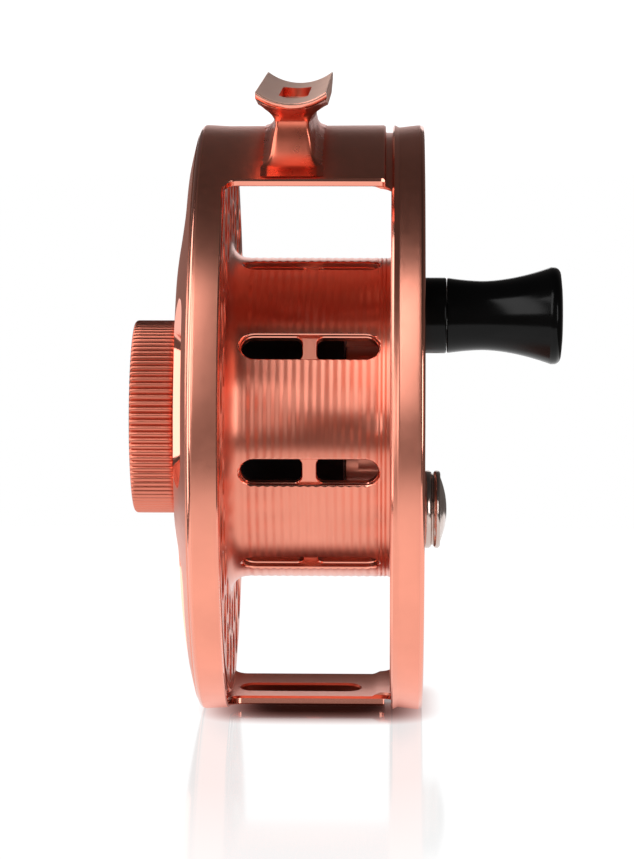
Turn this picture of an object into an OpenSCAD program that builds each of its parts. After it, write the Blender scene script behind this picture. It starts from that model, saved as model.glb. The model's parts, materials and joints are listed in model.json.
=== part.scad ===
// Large-arbor fly reel with a full frame cage, a sealed disc drag and a palming rim.
// Origin: the middle of the foot's saddle, where it meets the rod.
// +Z points up to the rod, +X along the spindle to the handle, Y along the rod.
// Angles in names ending in _angle are measured about the spindle from the front (-Y) up to +Z.

/* [Reel] */
// Outside radius of the frame and of the spool's palming rim
reel_r = 55; // [54.5:0.1:55.5]
// Distance from the spindle's centre line up to the foot's saddle
seat_height = 61.2; // [61:0.1:61.6]

/* [Frame cage] */
// Where the windows begin, on the drag side
window_left = -12.2; // [-12.4:0.1:-12]
// Where the bars end, on the handle side
bar_right = 16.8; // [16.5:0.1:17]
// Inside radius of the cage
cage_bore_r = 53.2; // [53:0.1:53.4]
// Outside radius of the front ring that the spool's rim covers
front_ring_r = 53.6; // [53.5:0.05:53.6]
// Inside radius of the front ring
front_bore_r = 52.5; // [52.4:0.1:52.6]
// Half of the angle that the top bar spans
top_bar_half = 30.5; // [29:0.5:32]
// How far the bottom bar reaches to the front of straight down
bottom_bar_front = 5.3; // [5:0.1:7]
// How far the bottom bar reaches behind straight down
bottom_bar_back = 11.9; // [10:0.1:13]
// Corner radius of the windows
window_corner_r = 2.5; // [2:0.1:3]

/* [Frame back] */
// Where the middle of the back plate's outer face is
back_face = -21.8; // [-21.9:0.1:-21.7]
// How far the outer face of the back plate domes
dome_rise = 3.5; // [3.3:0.1:3.7]
// Thickness of the back plate
back_wall = 2.4; // [2.3:0.1:2.5]
// Number of ports in the back plate
back_ports = 6; // [5:1:6]
// Angle that one back port spans
back_port_span = 40; // [34:1:42]
// Inside and outside radius of the back ports
back_port_in = 28; // [27.8:0.1:28.4]
back_port_out = 47; // [46.8:0.1:47.2]

/* [Spool] */
// Radius of the drum that the line winds on
drum_r = 30.1; // [30:0.1:30.4]
// Wall thickness of the drum
drum_wall = 2.6; // [2.4:0.1:2.6]
// Line side of the back flange
flange_left = -12; // [-12.1:0.05:-12]
// Line side of the front flange
flange_right = 17.9; // [17.8:0.05:18]
// Radius of the back flange
flange_r = 52.2; // [52:0.1:52.3]
// Outer face of the palming rim
rim_face = 24; // [23.8:0.1:24.2]
// Edge of the palming rim that faces the frame
rim_edge = 18.15; // [18.1:0.05:18.3]
// Number of slots in the drum
drum_slots = 8; // [6:1:8]
// Width of the slots in the drum
drum_slot_w = 5; // [4:0.1:5.4]
// Angle of the first drum slot
drum_slot_angle = 34.1; // [30:0.1:40]

/* [Handle] */
// Radius at which the handle and the counterweight sit
handle_circle_r = 39.3; // [39:0.1:39.6]
// Angle of the handle at rest
handle_angle = 36.5; // [0:0.5:90]
// Radius of the counterweight
counterweight_r = 7.75; // [7.5:0.05:7.8]

/* [Drag] */
// Radius of the drag knob
knob_r = 18.2; // [17.8:0.1:18.4]
// Outer face of the drag knob
knob_face = -30.4; // [-30.6:0.1:-30.2]
// Radius of the drag housing
housing_r = 20; // [19.8:0.1:20]
// Front of the drag housing
housing_front = 9.3; // [9.2:0.1:9.4]
// Number of ribs round the drag knob
knob_ribs = 48; // [36:4:48]

/* [Foot] */
// Length of the foot along the rod
foot_length = 62.5; // [60:0.5:64]
// Width of the foot
foot_width = 12.75; // [12:0.05:13.2]
// Radius of the foot's saddle
saddle_r = 10.2; // [10:0.1:11]

/* [Hidden] */
$fn = 72;

plate_inner = back_face + back_wall;
spindle_r = 3;
running = 0.04;
push_pin_circle_r = 9.5;
push_pin_r = 1.2;
disc_gap = 0.1;
steel_disc_t = 1;
carbon_disc_t = 1.4;
stack_left = -10.7;
stack_pitch = steel_disc_t + carbon_disc_t + 2 * disc_gap;
rotor_hex_r = 9.6;
key_circle_r = 18.4;
web_face = 20.2;
drum_bore_r = drum_r - drum_wall;
hub_r = 10.2;
bearing_r = 6.5;
gear_teeth = 48;
pawl_circle_r = 22.3;
foot_screw_angle = 9.5;
cover_screw_angles = [50, 130, 270];
cover_screw_circle_r = 9.4;
collar_end = 27.9;
handle_end = 48.5;

rose = "#a9604c";
rose_dark = "#8c4a3a";
black_finish = "#1b1b1d";
steel_finish = "#b9bcc0";
brass_finish = "#b79a55";
carbon_finish = "#2c2d30";
plastic_finish = "#d8d2c4";

// Points along an arc of radius r about (cx, cy), from angle a0 to angle a1
function arc(cx, cy, r, a0, a1, n) =
    [for (i = [0:n]) [cx + r * cos(a0 + (a1 - a0) * i / n), cy + r * sin(a0 + (a1 - a0) * i / n)]];

// Place of the back plate's outer face at radius r
function dome_x(r) = back_face + dome_rise * pow(max(r - knob_r, 0) / (reel_r - 2 - knob_r), 2.4);

module at_spindle() translate([0, 0, -seat_height]) children();

// Turns something that points to the front (-Y) up to an angle
module turned(angle) rotate([-angle, 0, 0]) children();

// Revolves an outline of [radius, place along the spindle] points
module revolve() rotate([0, 90, 0]) rotate_extrude() children();

// Revolves an outline over part of a turn, counted from +Z towards the front
module revolve_part(from, to)
    rotate([from - 180, 0, 0]) rotate([0, 90, 0]) rotate_extrude(angle = to - from) children();

// A cylinder along the spindle from x0 to x1
module rod(r, x0, x1) translate([x0, 0, 0]) rotate([0, 90, 0]) cylinder(r = r, h = x1 - x0);

// A six-sided bar along the spindle
module hex_rod(r, x0, x1) translate([x0, 0, 0]) rotate([0, 90, 0]) cylinder(r = r, h = x1 - x0, $fn = 6);

module tube(r_out, r_in, x0, x1) difference() {
    rod(r_out, x0, x1);
    rod(r_in, x0 - 1, x1 + 1);
}

// A cylinder along the spindle's direction at a radius and an angle
module rod_at(circle_r, angle, r, x0, x1)
    turned(angle) translate([0, -circle_r, 0]) rod(r, x0, x1);

// A wedge of the plane between two angles either side of +x, out to radius r, moved in by inset
module wedge_2d(half, r, inset) {
    reach = inset / sin(half);
    polygon([[reach, 0], [reach + r * cos(half), r * sin(half)], [reach + 2 * r, 0],
             [reach + r * cos(half), -r * sin(half)]]);
}

// A kidney-shaped port with round corners, centred on +x
module port_2d(r_in, r_out, span, corner) {
    half = span / 2;
    in_a = half - asin(corner / (r_in + corner));
    out_a = half - asin(corner / (r_out - corner));
    intersection() {
        difference() {
            circle(r_out - corner);
            circle(r_in + corner);
        }
        wedge_2d(half, 3 * r_out, 0);
    }
    intersection() {
        difference() {
            circle(r_out);
            circle(r_in);
        }
        wedge_2d(half, 3 * r_out, corner);
    }
    for (side = [-1, 1]) {
        rotate(side * in_a) translate([r_in + corner, 0]) circle(corner);
        rotate(side * out_a) translate([r_out - corner, 0]) circle(corner);
    }
}

// ---- Frame ----

// The whole frame's section: back plate, left ring, cage wall and front ring
module frame_profile() {
    steps = 8;
    inner_steps = 7;
    outer_r = reel_r - 2;
    inner_r = cage_bore_r - 3.2;
    polygon(concat(
        [[front_ring_r, 21.8], [front_ring_r, bar_right], [reel_r - 0.5, bar_right],
         [reel_r, bar_right - 0.5]],
        arc(outer_r, -16.3, 2, 0, -90, 5),
        [for (i = [1:steps]) let (r = outer_r + (knob_r - outer_r) * i / steps) [r, dome_x(r)]],
        [[spindle_r, back_face], [spindle_r, plate_inner], [25.5, plate_inner]],
        [for (i = [0:inner_steps]) let (r = 26 + (inner_r - 26) * i / inner_steps)
            [r, dome_x(r) + back_wall]],
        [[cage_bore_r, -14.6], [cage_bore_r, 14.5], [front_bore_r, 16], [front_bore_r, 21.8]]));
}

// Cuts one window of the cage, between two angles counted from +Z towards the front
module window(from, to) {
    right_edge = 18.2;
    reach = 90;
    centre = window_corner_r - 0.06;
    function ray(a) = [-reach * sin(a), reach * cos(a)];
    difference() {
        translate([window_left, 0, 0]) rotate([90, 0, 90]) linear_extrude(right_edge - window_left)
            polygon([[0, 0], ray(from), ray((2 * from + to) / 3), ray((from + 2 * to) / 3), ray(to)]);
        for (corner = [[from, -1], [to, 1]], side = [1, -1])
            rotate([corner[0], 0, 0])
                translate([side > 0 ? window_left : right_edge, 0, 45])
                    scale([side, corner[1], 1]) difference() {
                        translate([-1, -1, 0]) cube([centre + 1, centre + 1, 20]);
                        translate([centre, centre, -1]) cylinder(r = window_corner_r, h = 22);
                    }
    }
}

module frame() color(rose) at_spindle() {
    bottom_from = 180 - bottom_bar_front;
    bottom_to = 180 + bottom_bar_back;
    slot_r = 2.55;
    slot_half = 11.4 - slot_r;
    difference() {
        revolve() frame_profile();
        window(top_bar_half, bottom_from);
        window(bottom_to, 360 - top_bar_half);
        for (i = [0:back_ports - 1])
            turned(14.5 + i * 360 / back_ports)
                translate([-30, 0, 0]) rotate([0, 90, 0]) rotate([0, 0, -90])
                    linear_extrude(16) port_2d(back_port_in, back_port_out, back_port_span, 3.5);
        rotate([(bottom_from + bottom_to) / 2, 0, 0]) translate([0.8, 0, 48]) linear_extrude(12) {
            square([2 * slot_half, 2 * slot_r], center = true);
            translate([slot_half, 0]) circle(slot_r);
            translate([-slot_half, 0]) circle(slot_r);
        }
        for (side = [-1, 1]) rotate([side * foot_screw_angle, 0, 0]) {
            translate([0, 0, 40]) cylinder(r = 2.1, h = 20);
            translate([0, 0, 50]) cylinder(r = 3.6, h = 3.9);
        }
        for (i = [0:2]) rod_at(push_pin_circle_r, 90 + i * 120, push_pin_r + 0.06, -30, -15);
        for (i = [0:5]) rod_at(23, 14.5 + 30 + i * 60, 1, -20.8, -15);
    }
}

// ---- Foot ----

module foot_blank() {
    half = foot_length / 2;
    tip = 0.9;
    rotate([90, 0, 90]) translate([0, 0, -foot_width / 2]) linear_extrude(foot_width)
        polygon(concat(
            arc(-half + tip, -0.2, tip, 150, 250, 4), [[-17, -2.8], [17, -2.8]],
            arc(half - tip, -0.2, tip, -70, 30, 4), [[half - tip, 3], [-half + tip, 3]]));
}

// The pedestal's ridge on the bar: narrow above, flared where it meets the frame
module pedestal_ridge() {
    waist = 3.75;
    flare = arc(reel_r + 1.7, waist + 2, 2, 215, 270, 5);
    revolve_part(-top_bar_half, top_bar_half) polygon(concat(
        [[reel_r, waist + 1.2]], flare, [[seat_height + 7, waist], [seat_height + 7, -waist]],
        [for (i = [len(flare) - 1:-1:0]) [flare[i][0], -flare[i][1]]], [[reel_r, -waist - 1.2]]));
}

// The pedestal's outline from the side, with a hollow sweep at each end
module pedestal_side() {
    sweep = arc(-31.5, -6.3, 9.2, 42, -62, 10);
    rotate([90, 0, 90]) translate([0, 0, -8]) linear_extrude(16)
        polygon(concat(sweep, [for (i = [len(sweep) - 1:-1:0]) [-sweep[i][0], sweep[i][1]]]));
}

module reel_foot() color(rose) {
    pocket_half = 15.5 - 2.7;
    difference() {
        union() {
            intersection() {
                foot_blank();
                translate([0, 0, saddle_r]) rotate([90, 0, 0])
                    cylinder(r = saddle_r + 2.8, h = foot_length + 2, center = true);
            }
            intersection() {
                at_spindle() pedestal_ridge();
                pedestal_side();
                translate([-10, -40, -20]) cube([20, 80, 18.6]);
            }
        }
        translate([0, 0, saddle_r]) rotate([90, 0, 0])
            cylinder(r = saddle_r, h = foot_length + 2, center = true);
        translate([0, -1.4, -1.6]) linear_extrude(6) union() {
            square([5.4, 2 * pocket_half], center = true);
            translate([0, pocket_half]) circle(2.7);
            translate([0, -pocket_half]) circle(2.7);
        }
        at_spindle() for (side = [-1, 1]) rotate([side * foot_screw_angle, 0, 0])
            translate([0, 0, 50]) cylinder(r = 2, h = 8.4);
    }
}

// Two flat-head screws that come up through the top bar
module foot_screws() color(steel_finish) at_spindle()
    for (side = [-1, 1]) rotate([side * foot_screw_angle, 0, 0]) {
        translate([0, 0, 53]) cylinder(r = 3.5, h = 0.9);
        translate([0, 0, 53.8]) cylinder(r = 2, h = 4.4);
    }

// ---- Drag, fixed pieces ----

module drag_housing() color(black_finish) at_spindle() difference() {
    union() {
        rod(25, plate_inner, -17.6);
        rod(housing_r, plate_inner, housing_front);
        rod_at(pawl_circle_r, -90, 2.1, -17.7, -14.2);
    }
    difference() {
        rod(key_circle_r, -17.8, housing_front + 1);
        for (i = [0:2]) rod_at(key_circle_r + 0.3, 30 + i * 120, 1.2, -17.9, 7.5);
    }
    rod(spindle_r, -25, -10);
    for (i = [0:2]) rod_at(push_pin_circle_r, 90 + i * 120, push_pin_r + 0.06, -25, -15);
    for (i = [0:5]) rod_at(23, 14.5 + 30 + i * 60, 1, -25, -15);
    rod_at(pawl_circle_r, -90, 0.8, -17, -10);
}

module housing_screws() color(steel_finish) at_spindle() for (i = [0:5]) {
    rod_at(23, 14.5 + 30 + i * 60, 1, -20.6, -17.6);
    rod_at(23, 14.5 + 30 + i * 60, 1.8, -17.6, -16.4);
}

module housing_cover() color(black_finish) at_spindle() difference() {
    union() {
        rod(key_circle_r, 7.6, housing_front);
        rod(11.6, 4.3, 7.7);
    }
    rod(7.5, 3, 10);
    rod(9.56, 3, 7.6);
    for (i = [0:1]) rod_at(14, i * 180, 1.2, 8.3, 10);
}

module cover_seal() color(black_finish) at_spindle() tube(7.5, 5 + running, 7.8, 9.1);

module stack_spacer() color(steel_finish) at_spindle() difference() {
    tube(18.1, 12.2, -1.8, 7.5);
    for (i = [0:2]) rod_at(key_circle_r + 0.3, 30 + i * 120, 1.7, -3, 9);
}

// The fixed spindle, with the release groove near its front end
module spindle() color(steel_finish) at_spindle() difference() {
    revolve() polygon([[0, -27.8], [2.7, -27.8], [spindle_r, -27.5], [spindle_r, -17.8], [6, -17.8],
                       [6, -16.9], [spindle_r, -16.9], [spindle_r, 20.1], [2.3, 20.1], [2.3, 21.9],
                       [spindle_r, 21.9], [spindle_r, 22.2], [2.4, 22.7], [0, 22.7]]);
    rod(1.9, -28.5, -23);
}

module spindle_nut() color(steel_finish) at_spindle() difference() {
    hex_rod(5.5, -24, back_face);
    rod(spindle_r, -25, -20);
}

module steel_discs() color(steel_finish) at_spindle() for (i = [0:3])
    translate([stack_left + i * stack_pitch, 0, 0]) difference() {
        rod(18.2, 0, steel_disc_t);
        rod(10.2, -1, 2);
        for (k = [0:2]) rod_at(key_circle_r + 0.3, 30 + k * 120, 1.5, -1, 2);
    }

// ---- Drag, pieces that turn with the spool ----

module carbon_discs() color(carbon_finish) at_spindle() for (i = [0:2])
    translate([stack_left + steel_disc_t + disc_gap + i * stack_pitch, 0, 0]) difference() {
        rod(16.6, 0, carbon_disc_t);
        hex_rod(rotor_hex_r + 0.1, -1, 3);
    }

module drag_rotor() color(steel_finish) at_spindle() difference() {
    union() {
        hex_rod(rotor_hex_r, -10.2, -2.4);
        rod(8, -2.5, 3.9);
    }
    rod(7, -11, 5);
}

module one_way_clutch() color(steel_finish) at_spindle() tube(7, 5, -9.5, 3);

module drive_hub() color(steel_finish) at_spindle() difference() {
    union() {
        rod(5, -10, 10);
        hex_rod(8.2, 9.9, 13.2);
    }
    rod(3.5, -11, 14);
}

module hub_bearing() color(steel_finish) at_spindle() tube(9.5, 5, 4.4, 7.4);

// ---- Drag, pieces that the knob drives ----

module push_pins() color(steel_finish) at_spindle()
    for (i = [0:2]) rod_at(push_pin_circle_r, 90 + i * 120, push_pin_r, -25.2, -16.6);

module thrust_ring() color(steel_finish) at_spindle() tube(12, 6.6, -16.6, -15.6);

// Two pairs of cone spring washers, face to face
module spring_washers() color(steel_finish) at_spindle() for (i = [0:1]) {
    left = -15.6 + i * 1.2;
    revolve() polygon([[6.8, left], [12, left + 0.3], [12, left + 0.6], [6.8, left + 0.3]]);
    revolve() polygon([[6.8, left + 0.9], [12, left + 0.6], [12, left + 0.9], [6.8, left + 1.2]]);
}

module pressure_plate() color(steel_finish) at_spindle() tube(16.8, 6.6, -13.2, -11.8);

module drag_nut() color(brass_finish) at_spindle() difference() {
    hex_rod(11.8, -27.8, -25.3);
    rod(spindle_r + running, -29, -24);
}

module drag_knob() color(rose) at_spindle() {
    edge = 1.5;
    skin_r = knob_r - 0.45;
    difference() {
        union() {
            revolve() polygon(concat(
                [[0, -22.2], [skin_r - 0.5, -22.2], [skin_r, -22.7]],
                arc(skin_r - edge, knob_face + edge, edge, 0, -90, 5), [[0, knob_face]]));
            for (i = [0:knob_ribs - 1])
                turned(i * 360 / knob_ribs) translate([0, -skin_r + 0.2, 0])
                    rod(0.65, knob_face + 1.6, -22.9);
        }
        rod(13, -25.2, -20);
        hex_rod(12, -28, -20);
        rod(1.9 + running, -32, -20);
        rod(4.1, -32, -29);
        rod(8.55, -32, -29.9);
        rod_at(15.8, 0, push_pin_r + 0.02, -26, -20);
    }
}

module knob_screw() color(steel_finish) at_spindle() {
    rod(3.9, -29.8, -29.05);
    rod(1.9, -29.1, -24);
}

module knob_cap() color(rose_dark) at_spindle() revolve()
    polygon([[0, -30.3], [8.1, -30.3], [8.45, -30], [8.45, -29.9], [0, -29.9]]);

module detent_plunger() color(steel_finish) at_spindle() rod_at(15.8, 0, push_pin_r, -25.9, -22.05);

// ---- Click ----

module click_gear() color(brass_finish) at_spindle() {
    tip_r = 24.9;
    root_r = 25.7;
    step = 360 / gear_teeth;
    translate([-13.4, 0, 0]) rotate([0, 90, 0]) linear_extrude(2.4) difference() {
        circle(drum_bore_r);
        polygon([for (i = [0:gear_teeth - 1], k = [0:3])
            let (a = (i + k * 0.25) * step, r = (k == 0 || k == 1) ? tip_r : root_r)
            [r * cos(a), r * sin(a)]]);
    }
}

// The pawl stands between the housing and the click gear, with its tip just clear of the teeth
module click_pawl() color(steel_finish) at_spindle() difference() {
    union() {
        rod_at(pawl_circle_r, -90, 1.7, -13.2, -11.2);
        translate([-13.2, 0, 0]) rotate([0, 90, 0]) linear_extrude(2)
            polygon([[pawl_circle_r - 1.5, 0], [pawl_circle_r + 0.1, 5.6], [24, 5.2],
                     [pawl_circle_r + 1.5, 0]]);
    }
    rod_at(pawl_circle_r, -90, 0.8 + running, -15, -10);
}

module pawl_pin() color(steel_finish) at_spindle() rod_at(pawl_circle_r, -90, 0.8, -17, -10.9);

module click_spring() color(steel_finish) at_spindle()
    revolve_part(198, 232) polygon([[housing_r, -13.6], [20.4, -13.6], [20.4, -11], [housing_r, -11]]);

// ---- Spool ----

module spool_profile() {
    polygon(concat(
        [[bearing_r, 10.2], [hub_r, 10.2], [hub_r, flange_right], [drum_bore_r, flange_right],
         [drum_bore_r, flange_left - 1.6], [flange_r, flange_left - 1.6], [flange_r, flange_left]],
        arc(drum_r + 3, flange_left + 3, 3, 270, 180, 5),
        [[drum_r, flange_right], [52.1, flange_right], [52.1, 22.4], [53.95, 22.4],
         [53.95, rim_edge], [reel_r, rim_edge]],
        arc(reel_r - 0.7, rim_face - 0.7, 0.7, 0, 90, 3),
        [[52.4, rim_face], [47.8, web_face], [bearing_r, web_face]]));
}

module slot_2d(x0, x1, w) {
    translate([x0 + w / 2, -w / 2]) square([x1 - x0 - w, w]);
    translate([x0 + w / 2, 0]) circle(w / 2);
    translate([x1 - w / 2, 0]) circle(w / 2);
}

module spool() color(rose) at_spindle() difference() {
    revolve() spool_profile();
    hex_rod(8.35, 9, 13.4);
    for (i = [0:drum_slots - 1]) turned(drum_slot_angle + i * 360 / drum_slots)
        rotate([90, 0, 0]) {
            translate([0, 0, drum_r - 1]) linear_extrude(4) slot_2d(-9.4, 15.85, drum_slot_w);
            translate([0, 0, drum_bore_r - 2]) linear_extrude(6) slot_2d(-8.4, 1.8, drum_slot_w - 1);
            translate([0, 0, drum_bore_r - 2]) linear_extrude(6) slot_2d(4.5, 14.85, drum_slot_w - 1);
        }
    for (k = [1:17]) if (k != 9) rod_at(42, handle_angle + k * 20, 4.7, 15, 30);
    for (k = [1:16]) if (k != 8) rod_at(35, handle_angle + (k + 0.5) * 20, 3, 15, 30);
    for (k = [0:7]) rod_at(18.8, handle_angle + 22.5 + k * 45, 5.2, 15, 30);
    for (k = [0:23]) rod_at(45.5, k * 15, 4.3, -20, -5);
    for (k = [0:23]) rod_at(37.5, (k + 0.5) * 15, 3.4, -20, -5);
    for (side = [0, 180]) rod_at(handle_circle_r, handle_angle + side, 2.5, 15, 30);
    for (a = cover_screw_angles) rod_at(cover_screw_circle_r, a, 0.9, 18.1, 30);
}

module inner_bearing() color(steel_finish) at_spindle() tube(bearing_r, spindle_r + running, 13.5, 16.5);

module outer_bearing() color(steel_finish) at_spindle() tube(bearing_r, spindle_r + running, 17.1, 20.05);

// ---- Spool release ----

// A plate whose keyhole hooks into the spindle's groove, and frees it when its tab is pushed in
module latch_plate() color(steel_finish) at_spindle() translate([20.4, 0, 0]) rotate([0, 90, 0])
    linear_extrude(1.2) difference() {
        union() {
            translate([-4, -13]) square([8, 18.4]);
            translate([-3, -15.4]) square([6, 3]);
        }
        circle(2.4);
        translate([0, -1.5]) circle(3.15);
    }

module latch_spring() color(steel_finish) at_spindle() for (side = [-1, 1])
    translate([21, 5.4, side * 2.2]) rotate([-90, 0, 0]) cylinder(r = 0.5, h = 1.5);

module latch_cover() color(rose_dark) at_spindle() difference() {
    revolve() polygon(concat([[0, web_face], [12.6, web_face]],
                             arc(11.6, 22.6, 1, 0, 90, 4), [[0, 23.6]]));
    translate([web_face - 1, -14, -4.3]) cube([2.8, 22.5, 8.6]);
    rod(3.4, web_face - 1, 23);
    for (a = cover_screw_angles) {
        rod_at(cover_screw_circle_r, a, 0.9, 16, 30);
        rod_at(cover_screw_circle_r, a, 1.6, 22.6, 30);
    }
}

module cover_screws() color(steel_finish) at_spindle() for (a = cover_screw_angles) {
    rod_at(cover_screw_circle_r, a, 0.9, 18.2, 22.7);
    rod_at(cover_screw_circle_r, a, 1.55, 22.6, 23.4);
}

// ---- Handle and counterweight ----

module at_handle() at_spindle() turned(handle_angle) translate([0, -handle_circle_r, 0]) children();

module handle_collar() color(black_finish) at_handle() difference() {
    revolve() polygon([[0, web_face], [6.78, web_face], [6.78, collar_end - 0.5],
                       [6.4, collar_end - 0.1], [0, collar_end - 0.1]]);
    rod(2.5, 15, 30);
}

module handle_spindle() color(steel_finish) at_handle() difference() {
    rod(2.5, 18, 44.6);
    rod(1.25, 38, 45);
}

function knob_outline() = concat(
    [[6.5, collar_end], [6.78, collar_end + 0.3]],
    [for (i = [1:7]) let (x = collar_end + 0.3 + 6.1 * i / 7, u = (x - 34.3) / 6.1)
        [6.19 + 0.59 * pow(abs(u), 1.6), x]],
    [for (i = [1:9]) let (x = 34.3 + 12.3 * i / 9, u = (x - 34.3) / 12.3)
        [6.19 + 2.5 * pow(u, 1.75), x]],
    arc(7.4, 47.1, 1.3, 5, 80, 5));

module handle_knob() color(black_finish) at_handle() difference() {
    revolve() polygon(concat([[0, collar_end]], knob_outline(), [[0, handle_end]]));
    rod(4, 27, 45);
    rod(3.7, 40, 50);
}

module handle_bushes() color(plastic_finish) at_handle() {
    tube(4, 2.5 + running, 28, 32);
    tube(4, 2.5 + running, 40.6, 44.6);
}

module handle_screw() color(steel_finish) at_handle() {
    rod(1.25, 39, 45.5);
    revolve() polygon([[0, 45.1], [3.4, 45.1], [3.4, 47], [3, 47.4], [0, 47.6]]);
}

module counterweight() color(steel_finish) at_spindle() turned(handle_angle + 180)
    translate([0, -handle_circle_r, 0]) difference() {
        r = counterweight_r;
        revolve() polygon(concat(
            [[0, web_face], [r, web_face], [r, 26.2], [r - 0.2, 26.3], [r, 26.4], [r, 27.3],
             [r - 0.5, 27.4]],
            [for (i = [1:6]) let (u = 1 - i / 6) [(r - 0.5) * u, 29 - 1.6 * u * u]]));
        rod(2.5, 15, 24);
    }

module counterweight_screw() color(steel_finish) at_spindle()
    rod_at(handle_circle_r, handle_angle + 180, 2.5, 18, 23.9);

frame();
reel_foot();
foot_screws();
drag_housing();
housing_screws();
housing_cover();
cover_seal();
stack_spacer();
spindle();
spindle_nut();
steel_discs();
carbon_discs();
drag_rotor();
one_way_clutch();
drive_hub();
hub_bearing();
push_pins();
thrust_ring();
spring_washers();
pressure_plate();
drag_nut();
drag_knob();
knob_screw();
knob_cap();
detent_plunger();
click_gear();
click_pawl();
pawl_pin();
click_spring();
spool();
inner_bearing();
outer_bearing();
latch_plate();
latch_spring();
latch_cover();
cover_screws();
handle_collar();
handle_spindle();
handle_knob();
handle_bushes();
handle_screw();
counterweight();
counterweight_screw();
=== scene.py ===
"""The looks of a large-arbor fly reel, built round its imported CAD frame."""
import json
import math

import bmesh
import bpy
from mathutils import Matrix, Vector


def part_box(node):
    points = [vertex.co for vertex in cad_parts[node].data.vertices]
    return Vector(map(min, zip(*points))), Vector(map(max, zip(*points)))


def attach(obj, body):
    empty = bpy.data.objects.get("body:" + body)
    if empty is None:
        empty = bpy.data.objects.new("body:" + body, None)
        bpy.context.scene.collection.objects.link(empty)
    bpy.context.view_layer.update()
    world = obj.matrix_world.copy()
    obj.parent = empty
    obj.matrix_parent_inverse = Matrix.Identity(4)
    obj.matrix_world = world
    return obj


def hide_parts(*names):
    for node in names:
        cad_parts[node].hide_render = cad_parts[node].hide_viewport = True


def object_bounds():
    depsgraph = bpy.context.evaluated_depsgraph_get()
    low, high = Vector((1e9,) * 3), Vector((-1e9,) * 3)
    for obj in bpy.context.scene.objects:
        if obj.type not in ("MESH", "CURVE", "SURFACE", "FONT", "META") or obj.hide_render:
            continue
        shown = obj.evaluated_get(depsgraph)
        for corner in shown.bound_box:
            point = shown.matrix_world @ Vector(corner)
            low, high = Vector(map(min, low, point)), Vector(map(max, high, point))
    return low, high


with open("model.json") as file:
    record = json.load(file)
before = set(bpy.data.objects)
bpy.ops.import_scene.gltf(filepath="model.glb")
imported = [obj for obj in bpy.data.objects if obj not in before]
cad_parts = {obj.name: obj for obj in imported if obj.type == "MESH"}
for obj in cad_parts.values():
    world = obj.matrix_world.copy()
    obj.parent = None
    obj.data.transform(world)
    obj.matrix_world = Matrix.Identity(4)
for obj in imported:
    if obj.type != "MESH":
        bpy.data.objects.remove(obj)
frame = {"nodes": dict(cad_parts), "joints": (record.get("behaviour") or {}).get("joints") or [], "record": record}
cad_low, cad_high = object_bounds()

MM = 0.001
JOINTS = {joint["name"]: joint for joint in frame["joints"]}
AXIS_Z = JOINTS["spool_spin"]["pos_m"][2]
SEAT_HEIGHT = -AXIS_Z / MM


def sizes(node):
    """The lowest and highest corner of a CAD node in millimetres from the spindle."""
    low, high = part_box(node)
    shift = Vector((0, 0, AXIS_Z))
    return (Vector(low) - shift) / MM, (Vector(high) - shift) / MM


FRAME_LOW, FRAME_HIGH = sizes("frame")
SPOOL_HIGH = sizes("spool")[1]
KNOB_LOW, KNOB_HIGH = sizes("drag_knob")
FOOT_HIGH = sizes("reel_foot")[1]
WEIGHT_LOW, WEIGHT_HIGH = sizes("counterweight")
COLLAR_LOW, COLLAR_HIGH = sizes("handle_collar")
GRIP_LOW, GRIP_HIGH = sizes("handle_knob")
REEL_R = FRAME_HIGH.y
HANDLE_POS = Vector(JOINTS["handle_spin"]["pos_m"]) / MM
HANDLE_Y, HANDLE_Z = HANDLE_POS.y, HANDLE_POS.z + SEAT_HEIGHT
HANDLE_ANGLE = math.atan2(HANDLE_Z, -HANDLE_Y)

# ---------------------------------------------------------------- materials
# Noise scales count per metre, and bump depths are in metres.

ROSE = (0.90, 0.335, 0.235)
# Darker rose: the colour of the dark rose anodised parts, also used as painted shade on the frame slot's walls.
DARK_ROSE_AND_SLOT_SHADE = (0.62, 0.17, 0.11)
BLACK = (0.002, 0.002, 0.002)
WHITE = (1, 1, 1)
DIMPLE_SCALE, DIMPLE_DEPTH = 5200.0, 0.00004
RING_SCALE, RING_DEPTH = 4000.0, 0.00002
WEAVE_SCALE, WEAVE_DEPTH = 700.0, 0.00005
GRAIN_DEPTH = 0.00003


def new_material(name, base, metallic, roughness):
    """A material and its Principled shader."""
    mat = bpy.data.materials.new(name)
    mat.use_nodes = True
    shader = mat.node_tree.nodes["Principled BSDF"]
    shader.inputs["Base Color"].default_value = (*base, 1)
    shader.inputs["Metallic"].default_value = metallic
    shader.inputs["Roughness"].default_value = roughness
    return mat, shader


def link(owner, source, target):
    """Links two sockets of a material or a world."""
    owner.node_tree.links.new(source, target)


def node(owner, kind, **values):
    """A new node. Each value goes to the setting or the input of that name."""
    made = owner.node_tree.nodes.new(kind)
    for key, value in values.items():
        if hasattr(made, key):
            setattr(made, key, value)
        else:
            made.inputs[key.replace("_", " ")].default_value = value
    return made


def position(mat, scale=(1, 1, 1)):
    """Object coordinates, stretched by scale."""
    coords = node(mat, "ShaderNodeTexCoord")
    mapping = node(mat, "ShaderNodeMapping")
    mapping.inputs["Scale"].default_value = scale
    link(mat, coords.outputs["Object"], mapping.inputs["Vector"])
    return mapping.outputs["Vector"]


def ramp(owner, value, low, high):
    """A colour that runs between two stops, each of them (position, colour)."""
    made = node(owner, "ShaderNodeValToRGB")
    for stop, (place, colour) in zip(made.color_ramp.elements, (low, high)):
        stop.position = place
        stop.color = (*colour, 1)
    link(owner, value, made.inputs["Fac"])
    return made.outputs["Color"]


def mapped(owner, value, span, reach, **settings):
    """A value mapped from one span of numbers to another."""
    made = node(owner, "ShaderNodeMapRange", **settings)
    for key, number in zip(("From Min", "From Max", "To Min", "To Max"), (*span, *reach)):
        made.inputs[key].default_value = number
    link(owner, value, made.inputs["Value"])
    return made.outputs["Result"]


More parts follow.
